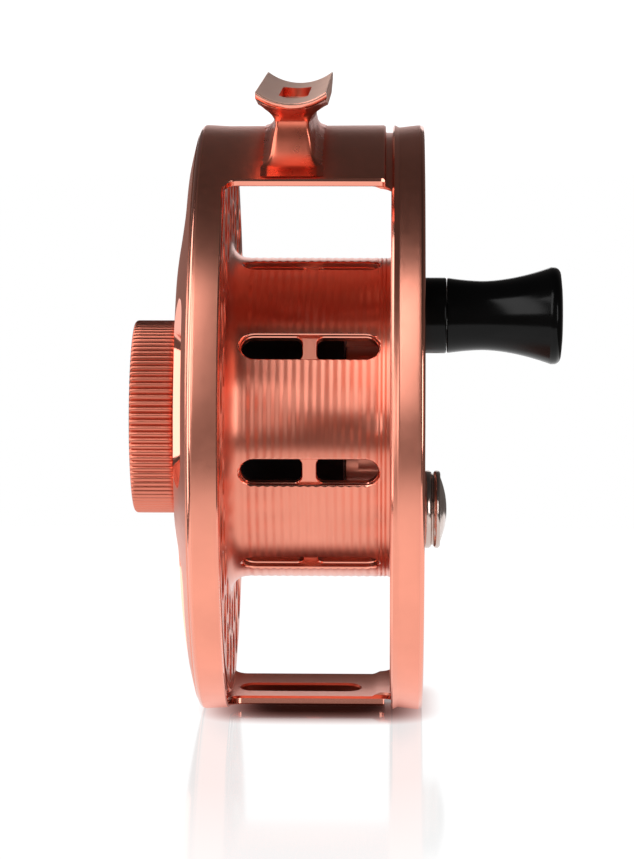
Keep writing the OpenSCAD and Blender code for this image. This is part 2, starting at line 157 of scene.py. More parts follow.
def colour_drift(mat, shader, vector, base, spread, scale):
    """Lets the colour wander a little from place to place."""
    noise = node(mat, "ShaderNodeTexNoise", Scale=scale, Detail=3.0)
    link(mat, vector, noise.inputs["Vector"])
    low = [c * (1 - spread) for c in base]
    high = [min(c * (1 + spread), 1) for c in base]
    colour = ramp(mat, noise.outputs["Fac"], (0.3, low), (0.7, high))
    link(mat, colour, shader.inputs["Base Color"])


def roughness_drift(mat, shader, vector, low, high, scale):
    """Lets the roughness wander between two values."""
    noise = node(mat, "ShaderNodeTexNoise", Scale=scale, Detail=4.0)
    link(mat, vector, noise.inputs["Vector"])
    rough = mapped(mat, noise.outputs["Fac"], (0, 1), (low, high))
    link(mat, rough, shader.inputs["Roughness"])


def bump(mat, shader, height, strength, distance):
    """Surface relief of a small depth from a height socket."""
    made = node(mat, "ShaderNodeBump", Strength=strength, Distance=distance)
    link(mat, height, made.inputs["Height"])
    link(mat, made.outputs["Normal"], shader.inputs["Normal"])


def blasted(name, base, rough_low, rough_high, grain, metallic=1.0):
    """Bead-blasted, anodised aluminium: fine dimples under an even satin colour."""
    mat, shader = new_material(name, base, metallic, rough_low)
    vector = position(mat)
    colour_drift(mat, shader, vector, base, 0.05, 90)
    roughness_drift(mat, shader, vector, rough_low, rough_high, 700)
    dimples = node(mat, "ShaderNodeTexNoise", Scale=DIMPLE_SCALE, Detail=2.0, Roughness=0.6)
    link(mat, vector, dimples.inputs["Vector"])
    bump(mat, shader, dimples.outputs["Fac"], grain, DIMPLE_DEPTH)
    return mat


def turned_metal(name, base, rough, grain):
    """Lathe-turned metal: fine rings round the spindle's direction."""
    mat, shader = new_material(name, base, 1.0, rough)
    vector = position(mat)
    colour_drift(mat, shader, vector, base, 0.04, 60)
    rings = position(mat, (1, 0.01, 0.01))
    lines = node(mat, "ShaderNodeTexNoise", Scale=RING_SCALE, Detail=3.0, Roughness=0.7)
    link(mat, rings, lines.inputs["Vector"])
    roughness_drift(mat, shader, rings, rough * 0.8, rough * 1.3, 2500)
    bump(mat, shader, lines.outputs["Fac"], grain, RING_DEPTH)
    grain_way = node(mat, "ShaderNodeTangent", direction_type="RADIAL", axis="X")
    link(mat, grain_way.outputs["Tangent"], shader.inputs["Tangent"])
    shader.inputs["Anisotropic"].default_value = 0.9
    shader.inputs["Anisotropic Rotation"].default_value = 0.25
    return mat


def polished(name, base, rough):
    """Polished metal with faint handling haze."""
    mat, shader = new_material(name, base, 1.0, rough)
    vector = position(mat)
    colour_drift(mat, shader, vector, base, 0.03, 50)
    roughness_drift(mat, shader, vector, rough * 0.8, rough * 1.6, 240)
    return mat


def gloss_black(name):
    """Black gloss that reflects little."""
    mat, shader = new_material(name, BLACK, 0, 0.12)
    shader.inputs["Specular IOR Level"].default_value = 0.16
    vector = position(mat)
    colour_drift(mat, shader, vector, BLACK, 0.3, 80)
    roughness_drift(mat, shader, vector, 0.12, 0.2, 300)
    return mat


def matte(name, base, rough, grain_scale, metallic=0.0):
    """Rubber, acetal or matt black: a soft surface with a fine grain."""
    mat, shader = new_material(name, base, metallic, rough)
    vector = position(mat)
    colour_drift(mat, shader, vector, base, 0.1, 150)
    grain = node(mat, "ShaderNodeTexNoise", Scale=grain_scale, Detail=3.0)
    link(mat, vector, grain.inputs["Vector"])
    roughness_drift(mat, shader, vector, rough * 0.9, min(rough * 1.1, 1), 400)
    bump(mat, shader, grain.outputs["Fac"], 0.15, GRAIN_DEPTH)
    return mat


def woven_carbon(name):
    """Woven carbon: two dark tones in a plain weave."""
    mat, shader = new_material(name, (0.03, 0.03, 0.033), 0, 0.35)
    checks = node(mat, "ShaderNodeTexChecker", Scale=WEAVE_SCALE)
    checks.inputs["Color1"].default_value = (0.02, 0.02, 0.022, 1)
    checks.inputs["Color2"].default_value = (0.06, 0.06, 0.065, 1)
    link(mat, position(mat), checks.inputs["Vector"])
    link(mat, checks.outputs["Color"], shader.inputs["Base Color"])
    bump(mat, shader, checks.outputs["Fac"], 0.3, WEAVE_DEPTH)
    return mat


SATIN = blasted("rose_satin", ROSE, 0.28, 0.37, 0.35)
BRIGHT = polished("rose_polished", (0.93, 0.36, 0.26), 0.1)
TURNED = turned_metal("rose_turned", ROSE, 0.31, 0.2)
# Burnished neck and foot pocket: a deeper red than the rest, a painted reflection of light bounced between copper
# surfaces.
NECK = polished("rose_burnished_painted_reflection", (0.88, 0.23, 0.145), 0.24)
# Polished steel weight, tinted warm: a painted reflection of the copper parts round it.
WEIGHT = polished("polished_steel_painted_copper_reflection", (0.60, 0.47, 0.42), 0.14)
# Dark rose satin: the finish of the dark rose anodised parts, and painted shade on the walls of the bottom bar's
# slot.
DARK_SATIN_AND_SLOT_SHADE = blasted("rose_satin_dark_and_slot_shade", DARK_ROSE_AND_SLOT_SHADE, 0.3, 0.4, 0.3)
# Matt saddle top, paler than the rest of the reel: painted light from above on the upward face.
SADDLE_MATT_PAINTED_TOP_LIGHT = blasted("saddle_matt_painted_top_light", (1.0, 0.61, 0.49), 0.5, 0.6, 0.5, 0.3)
KNURL = blasted("rose_knurl", (0.70, 0.21, 0.14), 0.26, 0.34, 0.3)
FINISHES = {
    "rose_anodised": SATIN,
    "dark_rose_anodised": DARK_SATIN_AND_SLOT_SHADE,
    "black_anodised": matte("black_anodised_satin", (0.012, 0.012, 0.013), 0.38, 3000, 0.3),
    "steel": turned_metal("steel_turned", (0.60, 0.59, 0.58), 0.22, 0.2),
    "polished_steel": polished("steel_polished", (0.72, 0.70, 0.69), 0.07),
    "bearing_steel": turned_metal("bearing_ground", (0.66, 0.66, 0.68), 0.15, 0.1),
    "disc_steel": turned_metal("disc_ground", (0.55, 0.55, 0.56), 0.3, 0.3),
    "spring_steel": turned_metal("spring_tempered", (0.35, 0.35, 0.38), 0.25, 0.2),
    "carbon": woven_carbon("carbon_weave"),
    "rubber_seal": matte("rubber_matte", (0.012, 0.012, 0.012), 0.7, 2500),
    "brass": turned_metal("brass_turned", (0.75, 0.55, 0.25), 0.25, 0.2),
    "bush_plastic": matte("bush_acetal", (0.75, 0.72, 0.64), 0.5, 2500),
    "gloss_black": gloss_black("black_gloss"),
}

for part in frame["record"]["subparts"]:
    shown = frame["nodes"][part["node"]]
    shown.data.materials.clear()
    shown.data.materials.append(FINISHES[part["material_slot"]])

# ---------------------------------------------------------------- mesh tools
# Outlines are in millimetres from the spindle, and meshes are in metres.

SLIVER = 2e-6
RING_SEGMENTS = 360
SMALL_SEGMENTS = 160
BEND_STEPS = 8
SWEEP_STEPS = 20


def around(x, r, angle, centre=(0.0, 0.0)):
    """The point at radius r and an angle in radians above the front, in metres."""
    y = centre[0] - r * math.cos(angle)
    z = centre[1] + r * math.sin(angle)
    return Vector((x * MM, y * MM, AXIS_Z + z * MM))


def arc(x, r, radius, start, end, steps):
    """Outline points [x, r] on an arc. Angle 0 points along +x and 90 away from the spindle."""
    turn = [math.radians(start + (end - start) * i / steps) for i in range(steps + 1)]
    return [(x + radius * math.cos(a), r + radius * math.sin(a)) for a in turn]


def smooth(mesh, sharp):
    """Smooth shading, with creases where faces meet at more than sharp degrees."""
    mesh.polygons.foreach_set("use_smooth", [True] * len(mesh.polygons))
    mesh.set_sharp_from_angle(angle=math.radians(sharp))


def finish_mesh(bm, name, materials, sharp=28):
    """Makes an object of a bmesh, with outward normals and smooth shading."""
    bmesh.ops.remove_doubles(bm, verts=bm.verts, dist=1e-8)
    bmesh.ops.recalc_face_normals(bm, faces=bm.faces)
    mesh = bpy.data.meshes.new(name)
    bm.to_mesh(mesh)
    bm.free()
    for mat in materials:
        mesh.materials.append(mat)
    smooth(mesh, sharp)
    made = bpy.data.objects.new(name, mesh)
    bpy.context.scene.collection.objects.link(made)
    return made


def grid(bm, rings, closed_ends=False, band_material=None):
    """Faces between neighbouring rings of points. A ring of one point is a pole."""
    made = [[bm.verts.new(p) for p in ring] for ring in rings]
    pairs = list(zip(range(len(made)), range(1, len(made))))
    if closed_ends:
        pairs.append((len(made) - 1, 0))
    for band, (i, j) in enumerate(pairs):
        a, b = made[i], made[j]
        count = max(len(a), len(b))
        if count == 1:
            continue
        for k in range(count):
            m = (k + 1) % count
            corners = [a[k % len(a)], a[m % len(a)], b[m % len(b)], b[k % len(b)]]
            face = bm.faces.new(list(dict.fromkeys(corners)))
            if band_material:
                face.material_index = band_material(band)
    return made


def revolved(name, outline, materials, segments, centre=(0.0, 0.0), polish=()):
    """A closed outline of [x, r] points turned about the spindle's direction.

    polish lists (x low, x high, r low, r high) boxes whose bands take the second material.
    """
    bm = bmesh.new()
    rings = []
    for x, r in outline:
        count = 1 if r < 1e-6 else segments
        rings.append([around(x, r, 2 * math.pi * k / segments, centre) for k in range(count)])

    def band(i):
        (x0, r0), (x1, r1) = outline[i], outline[(i + 1) % len(outline)]
        x, r = (x0 + x1) / 2, (r0 + r1) / 2
        return int(any(a <= x <= b and c <= r <= d for a, b, c, d in polish))

    grid(bm, rings, closed_ends=True, band_material=band)
    return finish_mesh(bm, name, materials)


def cutter(loops, bright=()):
    """A closed solid through a list of loops. Bands listed in bright get the second material.

    Cut faces keep the cutter's material index, so a bright band becomes a polished chamfer, and in the bottom
    bar's slot a wall of painted shade.
    """
    bm = bmesh.new()
    made = grid(bm, loops, band_material=lambda i: int(i in bright))
    for end in (made[0], made[-1]):
        if len(end) > 1:
            bm.faces.new(end)
    bmesh.ops.recalc_face_normals(bm, faces=bm.faces)
    bmesh.ops.triangulate(bm, faces=[f for f in bm.faces if len(f.verts) > 4])
    return bm


def combine(target, solids, operation, materials, sharp=28):
    """Cuts solids from a piece or joins them to it, and puts the result into its mesh.

    Slivers that the cut leaves are dissolved before the shading is set.
    """
    tool_mesh = bpy.data.meshes.new("tool")
    joined = bmesh.new()
    for solid in solids:
        part_mesh = bpy.data.meshes.new("solid")
        solid.to_mesh(part_mesh)
        solid.free()
        joined.from_mesh(part_mesh)
        bpy.data.meshes.remove(part_mesh)
    joined.to_mesh(tool_mesh)
    joined.free()
    for mat in materials:
        tool_mesh.materials.append(mat)
    tool = bpy.data.objects.new("tool", tool_mesh)
    bpy.context.scene.collection.objects.link(tool)
    modifier = target.modifiers.new("combine", "BOOLEAN")
    modifier.object = tool
    modifier.operation = operation
    modifier.solver = "MANIFOLD"
    modifier.material_mode = "TRANSFER"
    bpy.context.view_layer.update()
    graph = bpy.context.evaluated_depsgraph_get()
    result = bpy.data.meshes.new_from_object(target.evaluated_get(graph))
    target.modifiers.clear()
    old, target.data = target.data, result
    result.name = target.name
    bpy.data.meshes.remove(old)
    bpy.data.objects.remove(tool)
    bpy.data.meshes.remove(tool_mesh)
    cleaned = bmesh.new()
    cleaned.from_mesh(result)
    bmesh.ops.dissolve_degenerate(cleaned, dist=SLIVER, edges=cleaned.edges)
    cleaned.to_mesh(result)
    cleaned.free()
    smooth(result, sharp)


def outline_normals(points):
    """Outward normals of a closed, counter-clockwise 2-D outline."""
    normals = []
    count = len(points)
    for i in range(count):
        a, b = points[i - 1], points[(i + 1) % count]
        tangent = Vector((b[0] - a[0], b[1] - a[1])).normalized()
        normals.append(Vector((tangent.y, -tangent.x)))
    return normals


def widened(points, amount):
    """An outline moved outwards by an amount."""
    moved = zip(points, outline_normals(points))
    return [(p[0] + n.x * amount, p[1] + n.y * amount) for p, n in moved]


def circle_points(cx, cy, radius, count=40):
    """A circle as a counter-clockwise outline."""
    turn = [2 * math.pi * k / count for k in range(count)]
    return [(cx + radius * math.cos(a), cy + radius * math.sin(a)) for a in turn]


def stadium_points(x0, x1, width, steps=12):
    """A slot from x0 to x1 with round ends, centred on y = 0."""
    r = width / 2
    points = []
    for centre, start in ((x1 - r, -90), (x0 + r, 90)):
        for i in range(steps + 1):
            a = math.radians(start + 180 * i / steps)
            points.append((centre + r * math.cos(a), r * math.sin(a)))
    return points


def sector_points(r_in, r_out, half, corner, middle):
    """A kidney-shaped port with round corners, as [forward, up] points round the spindle."""
    half_in = half - math.asin(corner / (r_in + corner))
    half_out = half - math.asin(corner / (r_out - corner))

    def bend(centre_r, centre_a, start, end):
        c = (centre_r * math.cos(centre_a), centre_r * math.sin(centre_a))
        turn = [start + (end - start) * i / BEND_STEPS for i in range(BEND_STEPS + 1)]
        return [(c[0] + corner * math.cos(a), c[1] + corner * math.sin(a)) for a in turn]

    def sweep(r, start, end):
        turn = [start + (end - start) * i / SWEEP_STEPS for i in range(1, SWEEP_STEPS)]
        return [(r * math.cos(a), r * math.sin(a)) for a in turn]

    side = half + math.pi / 2
    points = sweep(r_out, -half_out, half_out)
    points += bend(r_out - corner, half_out, half_out, side)
    points += bend(r_in + corner, half_in, side, half_in + math.pi)
    points += sweep(r_in, half_in, -half_in)
    points += bend(r_in + corner, -half_in, -half_in - math.pi, -side)
    points += bend(r_out - corner, -half_out, -side, -half_out)
    cos_m, sin_m = math.cos(middle), math.sin(middle)
    return [(f * cos_m - u * sin_m, f * sin_m + u * cos_m) for f, u in points]


def plate_cutter(points, face_low, face_high, chamfer, bevel=0):
    """Cuts a port through a plate, with a chamfer at each face.

    points are [forward, up] round the spindle, and each face gives its x at a radius.
    bevel is the chamfer at the low face where it differs.
    """
    far, clear = 6, 0.3

    def loop(offset, x_of):
        ring = []
        for f, u in widened(points, offset):
            x = x_of(math.hypot(f, u))
            ring.append(Vector((x * MM, -f * MM, AXIS_Z + u * MM)))
        return ring

    flare = chamfer + clear
    bevel = bevel or chamfer
    low = face_low(math.hypot(*points[0]))
    high = face_high(math.hypot(*points[0]))
    loops = [
        loop(bevel + clear, lambda r: low - far),
        loop(bevel + clear, lambda r: face_low(r) - clear),
        loop(0, lambda r: face_low(r) + bevel),
        loop(0, lambda r: face_high(r) - chamfer),
        loop(flare, lambda r: face_high(r) + clear),
        loop(flare, lambda r: high + far),
    ]
    return cutter(loops, bright=(1, 2, 3))


def wall_cutter(points, middle, r_in, r_out, chamfer, reach_in, reach_out):
    """Cuts an opening through a round wall, with a chamfer at each side.

    points are [x, distance round the wall at r_out] from the angle middle.
    """
    clear = 0.25

    def loop(offset, r):
        return [around(x, r, middle + s / r_out) for x, s in widened(points, offset)]

    flare = chamfer + clear
    middle_x = (points[0][0] + points[len(points) // 2][0]) / 2
    loops = [
        [around(middle_x, reach_in / 2, middle)],
        loop(flare, reach_in),
        loop(flare, r_in - clear),
        loop(0, r_in + chamfer),
        loop(0, r_out - chamfer),
        loop(flare, r_out + clear),
        loop(flare, reach_out),
        [around(middle_x, reach_out * 1.5, middle)],
    ]
    return cutter(loops, bright=(2, 3, 4))


# ---------------------------------------------------------------- frame

TOP_BAR_HALF = math.radians(30.5)
BOTTOM_BAR = (math.radians(5.3), math.radians(11.9))
WINDOW_LEFT = -12.2
WINDOW_RIGHT = 18.2
BAR_RIGHT = 16.8
CAGE_BORE_R = 53.2
RING_R = 53.6
BACK_WALL = 2.4
DOME_RISE = 3.9
BACK_FACE = FRAME_LOW.x
FRONT_FACE = 21.8
FRONT_BORE_R = 52.5
HOUSING_SEAT_R = 25.5
KNOB_SEAT_R = 18.6
FRAME_PORTS = 6
FIRST_PORT = math.radians(14.5)
PORT_IN_R, PORT_OUT_R, PORT_HALF, PORT_CORNER = 28, 47, math.radians(20), 3.5
WINDOW_CORNER = 2.5
WINDOW_STEPS = 60


def dome(r):
    """Place of the back plate's outer face at radius r."""
    knob_r = KNOB_HIGH.y
    rise = max(r - knob_r, 0) / (REEL_R - 1.5 - knob_r)
    return BACK_FACE + DOME_RISE * min(rise, 1) ** 2.4


def frame_outline():
    """The frame's section, from the front ring over the bars and the dome to the bore."""
    outer = [(FRONT_FACE, RING_R - 0.15), (21.65, RING_R), (BAR_RIGHT + 0.25, RING_R)]
    outer += arc(BAR_RIGHT + 0.25, RING_R + 0.25, 0.25, -90, -180, 3)
    outer += arc(BAR_RIGHT - 0.45, REEL_R - 0.45, 0.45, 0, 90, 5)
    outer += [(WINDOW_LEFT - 0.1, REEL_R - 0.22)]
    outer += arc(-16.45, REEL_R - 1.2, 1.2, 90, 180, 12)
    outer += [(-17.35, REEL_R - 1.38), (-17.4, REEL_R - 1.5)]
    steps = 30
    for i in range(steps + 1):
        r = REEL_R - 1.65 + (KNOB_SEAT_R - REEL_R + 1.65) * i / steps
        outer.append((dome(r), r))
    inner_face = BACK_FACE + BACK_WALL
    outer += [(BACK_FACE, 18.2), (BACK_FACE, 3), (inner_face, 3), (inner_face, HOUSING_SEAT_R)]
    for i in range(17):
        r = 26 + 22.6 * i / 16
        outer.append((dome(r) + BACK_WALL, r))
    outer += arc(-14.2, CAGE_BORE_R - 2.6, 2.6, 172, 90, 8)
    outer += [(14.5, CAGE_BORE_R), (16, FRONT_BORE_R), (21.65, FRONT_BORE_R)]
    outer += [(FRONT_FACE, FRONT_BORE_R + 0.15)]
    return outer


def window_points(start, end):
    """A cage window between two angles: [x, distance round the wall], with round corners."""
    r = WINDOW_CORNER
    half = REEL_R * (end - start) / 2
    points = []
    corners = ((WINDOW_LEFT + r, half - r, 90), (WINDOW_LEFT + r, -half + r, 180),
               (WINDOW_RIGHT - r, -half + r, 270), (WINDOW_RIGHT - r, half - r, 0))
    for cx, cs, from_a in corners:
        for i in range(13):
            a = math.radians(from_a + 90 * i / 12)
            points.append((cx + r * math.cos(a), cs + r * math.sin(a)))
        if from_a in (90, 270):
            side = 1 if from_a == 90 else -1
            for i in range(1, WINDOW_STEPS):
                along = side * (half - r) * (1 - 2 * i / WINDOW_STEPS)
                points.append((cx - side * r, along))
    return points


def build_frame():
    """The one-piece frame: two cage windows, a slot in the bottom bar and six back ports."""
    left_corner = (-17.62, -16.9, REEL_R - 1.0, REEL_R - 0.08)
    shell = revolved("frame_shell", frame_outline(), [SATIN, BRIGHT], RING_SEGMENTS,
                     polish=(left_corner,))
    top = math.pi / 2
    front = (-top + BOTTOM_BAR[0], top - TOP_BAR_HALF)
    back = (top + TOP_BAR_HALF, 3 * top - BOTTOM_BAR[1])
    solids = []
    for start, end in (front, back):
        window = window_points(start, end)
        middle = (start + end) / 2
        solids.append(wall_cutter(window, middle, CAGE_BORE_R, REEL_R, 0.42, 4, 400))
    bottom = -top + (BOTTOM_BAR[0] - BOTTOM_BAR[1]) / 2
    stadium = stadium_points(-10.6, 12.2, 5.1)
    slot = wall_cutter(stadium, bottom, CAGE_BORE_R, REEL_R, 0.35, 48, 60)
    for k in range(FRAME_PORTS):
        middle = FIRST_PORT + k * 2 * math.pi / FRAME_PORTS
        port = sector_points(PORT_IN_R, PORT_OUT_R, PORT_HALF, PORT_CORNER, middle)
        solids.append(plate_cutter(port, dome, lambda r: dome(r) + BACK_WALL, 0.4, 1.9))
    combine(shell, solids, "DIFFERENCE", [SATIN, BRIGHT])
    # The slot's walls take the dark satin: painted shade inside the slot.
    combine(shell, [slot], "DIFFERENCE", [SATIN, DARK_SATIN_AND_SLOT_SHADE])
    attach(shell, "frame_body")
    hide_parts("frame")


# ---------------------------------------------------------------- spool

DRUM_R = 30.1
DRUM_BORE_R = 27.5
FLANGE_LEFT = -12.0
FLANGE_RIGHT = 17.9
FLANGE_R = 52.2
HUB_R = 13.4
WEB_FACE = 20.2
RIM_FACE = SPOOL_HIGH.x
RIM_EDGE = 18.15
GROOVE_PITCH, GROOVE_DEPTH = 1.5, 0.09
RIM_DISH, RIM_LOW_POINT = 0.42, 0.16
BEARING_R = 6.5
HUB_START, HUB_FACE = 10.2, 9.45
DRUM_SLOTS = 8
SLOT_ANGLE = math.radians(34.1)
SLOT_LEFT, SLOT_RIGHT, SLOT_WIDTH = -9.4, 15.85, 5.0
BRIDGE_LEFT, BRIDGE_RIGHT = 1.8, 4.5
RECESS_FLOOR = 28.9
POCKET_BEVEL, POCKET_CORNER = 0.16, 1.3
# Rings of round holes, as (radius of the ring, radius of a hole)
WEB_OUTER, WEB_INNER, WEB_HUB = (42, 4.7), (35, 3), (18.8, 5.2)
FLANGE_OUTER, FLANGE_INNER = (45.5, 4.3), (37.5, 3.4)
WEB_STEP, HUB_STEP, FLANGE_STEP = 20, 45, 15
HUB_HOLES, FLANGE_HOLES = 8, 24


def drum_surface():
    """The turned drum, from its left fillet to the front flange, with a wave of grooves."""
    points = arc(FLANGE_LEFT + 3, DRUM_R + 3, 3, 180, 270, 10)
    x = FLANGE_LEFT + 3.2
    step = GROOVE_PITCH / 10
    while x < FLANGE_RIGHT - 3.2:
        phase = (x - FLANGE_LEFT - 3) / GROOVE_PITCH
        points.append((x, DRUM_R - GROOVE_DEPTH * math.sin(math.pi * phase) ** 2))
        x += step
    for i, depth in enumerate((0, 0.1, 0, 0.12, 0.02, 0.12, 0)):
        points.append((FLANGE_RIGHT - 2.6 + 0.38 * i, DRUM_R - depth))
    return points


def spool_outline():
    """The spool's section: hub, bore, left flange, drum, web and the dished palming rim."""
    points = [(HUB_START, BEARING_R), (HUB_START, HUB_R - 1.8), (HUB_FACE, HUB_R - 1.6)]
    points += [(HUB_FACE, HUB_R - 0.2), (9.65, HUB_R), (FLANGE_RIGHT - 1, HUB_R)]
    points += arc(FLANGE_RIGHT - 1, HUB_R + 1, 1, -90, 0, 4)
    points += arc(FLANGE_RIGHT - 1, DRUM_BORE_R - 1, 1, 0, 90, 4)
    points += [(FLANGE_LEFT - 1.3, DRUM_BORE_R), (FLANGE_LEFT - 1.6, DRUM_BORE_R + 0.3)]
    points += [(FLANGE_LEFT - 1.6, FLANGE_R - 0.5)]
    points += arc(FLANGE_LEFT - 0.8, FLANGE_R - 0.8, 0.8, 180, 0, 10)
    points += [(FLANGE_LEFT, FLANGE_R - 1.2)]
    points += drum_surface()
    points += arc(FLANGE_RIGHT - 0.3, DRUM_R + 0.3, 0.3, -90, 0, 3)
    points += [(FLANGE_RIGHT, 51.7), (FLANGE_RIGHT + 0.4, 52.1), (22.4, 52.1), (22.4, 53.95)]
    points += [(RIM_EDGE + 0.1, 53.95), (RIM_EDGE, 54.05), (RIM_EDGE, REEL_R - 0.3)]
    points += [(RIM_EDGE + 0.3, REEL_R)]
    steps = 24
    for i in range(1, steps):
        x = RIM_EDGE + 0.5 + (RIM_FACE - 0.95 - RIM_EDGE - 0.5) * i / steps
        run = i / steps
        sinking = min(run / RIM_LOW_POINT, 1) ** 0.7
        rising = (1 - max(run - RIM_LOW_POINT, 0) / (1 - RIM_LOW_POINT)) ** 1.15
        points.append((x, REEL_R - RIM_DISH * sinking * rising))
    points += arc(RIM_FACE - 0.75, REEL_R - 0.75, 0.75, 90, 0, 8)
    points += arc(RIM_FACE - 0.4, 52.6, 0.4, 0, -48, 4)
    points += [(WEB_FACE + 0.15, 47.95), (WEB_FACE, 47.5), (WEB_FACE, BEARING_R)]
    return points


def port_circle(ring, angle, face_low, face_high, chamfer):
    """A round hole of a ring of holes through a flat plate, at an angle round the spindle."""
    radius, port_r = ring
    hole = circle_points(radius * math.cos(angle), radius * math.sin(angle), port_r)
    return plate_cutter(hole, lambda r: face_low, lambda r: face_high, chamfer)


def pocket_points(square_x, round_x):
    """A pocket from its nearly square end by the bridge to its round end in the recess."""
    side = 1 if round_x > square_x else -1
    r, corner = SLOT_WIDTH / 2 - 0.12, POCKET_CORNER
    points = []
    for i in range(25):
        a = math.radians(-90 + 180 * i / 24)
        points.append((round_x - side * r + side * r * math.cos(a), r * math.sin(a)))
    for up, start in ((1, 90), (-1, 180)):
        for i in range(BEND_STEPS + 1):
            a = math.radians(start + 90 * i / BEND_STEPS)
            x = square_x + side * corner + side * corner * math.cos(a)
            points.append((x, up * (r - corner) + corner * math.sin(a)))
    return points if side > 0 else points[::-1]


def slot_cutters(angle):
    """The long recess of a drum slot, and the two pockets that go on through."""

    def curved(points, r):
        return [around(x, r, angle + s / DRUM_R) for x, s in points]

    def flat(points, height):
        spin = Matrix.Rotation(-angle, 3, "X")
        shift = Vector((0, 0, AXIS_Z))
        return [spin @ (Vector((x, -height, s)) * MM) + shift for x, s in points]

    recess = stadium_points(SLOT_LEFT, SLOT_RIGHT, SLOT_WIDTH)
    loops = [
        flat(recess, RECESS_FLOOR),
        curved(recess, DRUM_R - 0.32),
        curved(widened(recess, 0.12), DRUM_R - 0.12),
        curved(widened(recess, 0.42), DRUM_R + 0.08),
        curved(widened(recess, 0.9), DRUM_R + 0.5),
        flat(widened(recess, 0.9), 34),
    ]
    solids = [cutter(loops, bright=(1, 2, 3))]
    left = pocket_points(BRIDGE_LEFT, SLOT_LEFT + 0.1)
    right = pocket_points(BRIDGE_RIGHT, SLOT_RIGHT - 0.1)
    for pocket in (left, right):
        mouth = widened(pocket, POCKET_BEVEL)
        loops = [flat(pocket, 24), flat(pocket, 28.72)]
        loops += [flat(mouth, RECESS_FLOOR), flat(mouth, 29.3)]
        solids.append(cutter(loops, bright=(1,)))
    return solids


def build_spool():
    """The spool: drum slots, the holes of the front web, and two rings in the left flange."""
    rim_left = (RIM_EDGE - 0.1, RIM_EDGE + 0.31, 54, 56)
    rim_right = (RIM_FACE - 0.76, RIM_FACE + 0.1, 54.2, 56)
    flange_edge = (FLANGE_LEFT - 1.7, FLANGE_LEFT + 0.1, FLANGE_R - 0.8, 53)
    polish = (rim_left, rim_right, flange_edge)
    body = revolved("spool_body", spool_outline(), [SATIN, BRIGHT, TURNED], RING_SEGMENTS,
                    polish=polish)
    for face in body.data.polygons:
        x = face.center.x / MM
        r = math.hypot(face.center.y, face.center.z - AXIS_Z) / MM
        on_drum = FLANGE_LEFT - 1.7 < x < FLANGE_RIGHT + 0.2 and 27 < r < 34
        if on_drum and face.material_index == 0:
            face.material_index = 2
    pockets, recesses, flange_holes = [], [], []
    for k in range(DRUM_SLOTS):
        made = slot_cutters(SLOT_ANGLE + k * 2 * math.pi / DRUM_SLOTS)
        recesses.append(made[0])
        pockets += made[1:]
    combine(body, recesses, "DIFFERENCE", [TURNED, BRIGHT])
    web = (FLANGE_RIGHT, WEB_FACE)
    left = (FLANGE_LEFT - 1.6, FLANGE_LEFT)
    step = math.radians(WEB_STEP)
    # The web stays solid under the handle and the counterweight.
    for k in range(1, 18):
        if k != 9:
            pockets.append(port_circle(WEB_OUTER, HANDLE_ANGLE + k * step, *web, 0.35))
    for k in range(1, 17):
        if k != 8:
            pockets.append(port_circle(WEB_INNER, HANDLE_ANGLE + (k + 0.5) * step, *web, 0.3))
    for k in range(HUB_HOLES):
        angle = HANDLE_ANGLE + math.radians(HUB_STEP / 2 + HUB_STEP * k)
        pockets.append(port_circle(WEB_HUB, angle, *web, 0.4))
    for k in range(FLANGE_HOLES):
        angle, between = FLANGE_STEP * k, FLANGE_STEP * k + FLANGE_STEP / 2
        flange_holes.append(port_circle(FLANGE_OUTER, math.radians(angle), *left, 0.2))
        flange_holes.append(port_circle(FLANGE_INNER, math.radians(between), *left, 0.2))
    combine(body, pockets, "DIFFERENCE", [SATIN, BRIGHT])
    combine(body, flange_holes, "DIFFERENCE", [SATIN, SATIN])
    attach(body, "spool_body")
    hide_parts("spool")


# ---------------------------------------------------------------- drag knob, handle, counterweight

KNOB_RIBS = 96
RIB_STEPS = 8
RIB_DEPTH = 0.42
SCREW_BORE_R = 2.51
WEIGHT_LOBE_R = 7.75


def build_drag_knob():
    """A straight-knurled knob: its outline is turned with a radius that ripples."""
    r_out, x_face, x_back = KNOB_HIGH.y, KNOB_LOW.x, KNOB_HIGH.x
    skin = r_out - RIB_DEPTH
    outline = [(x_back, 0), (x_back, r_out - 0.45), (x_back - 0.25, r_out - 0.1)]
    first, steps = 1, 10
    for i in range(steps + 1):
        outline.append((x_back - 0.45 + (x_face + 0.95 - x_back + 0.45) * i / steps, r_out))
    outline += arc(x_face + 0.75, r_out - 0.75, 0.75, 80, 180, 7)
    last = len(outline) - 1
    outline += [(x_face, skin - 1.1), (x_face, 9.2), (x_face + 0.12, 8.9)]
    outline += [(x_face + 0.45, 8.55), (x_face + 0.45, 0)]
    count = KNOB_RIBS * RIB_STEPS
    bm = bmesh.new()
    rings = []
    for i, (x, r) in enumerate(outline):
        if r < 1e-6:
            rings.append([around(x, 0, 0)])
            continue
        ring = []
        for k in range(count):
            wave = 0.0
            if first <= i < last:
                wave = (r_out - skin) * (abs(math.sin(math.pi * k / RIB_STEPS)) ** 0.8 - 1)
            ring.append(around(x, r + wave, 2 * math.pi * k / count))
        rings.append(ring)
    grid(bm, rings, closed_ends=True)
    knob = finish_mesh(bm, "knurled_knob", [KNURL], 50)
    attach(knob, "knob_body")
    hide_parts("drag_knob")
    steps_in = ((0.46, 0), (0.46, 8.45), (0.2, 8.4), (0.1, 8.2), (0.1, 7.4), (0.28, 7.2),
                (0.3, 6.9), (0.16, 6.7), (0.1, 0))
    outline = [(x_face + depth, r) for depth, r in steps_in]
    cap = revolved("knob_badge", outline, [TURNED], SMALL_SEGMENTS)
    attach(cap, "knob_body")
    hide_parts("knob_cap")


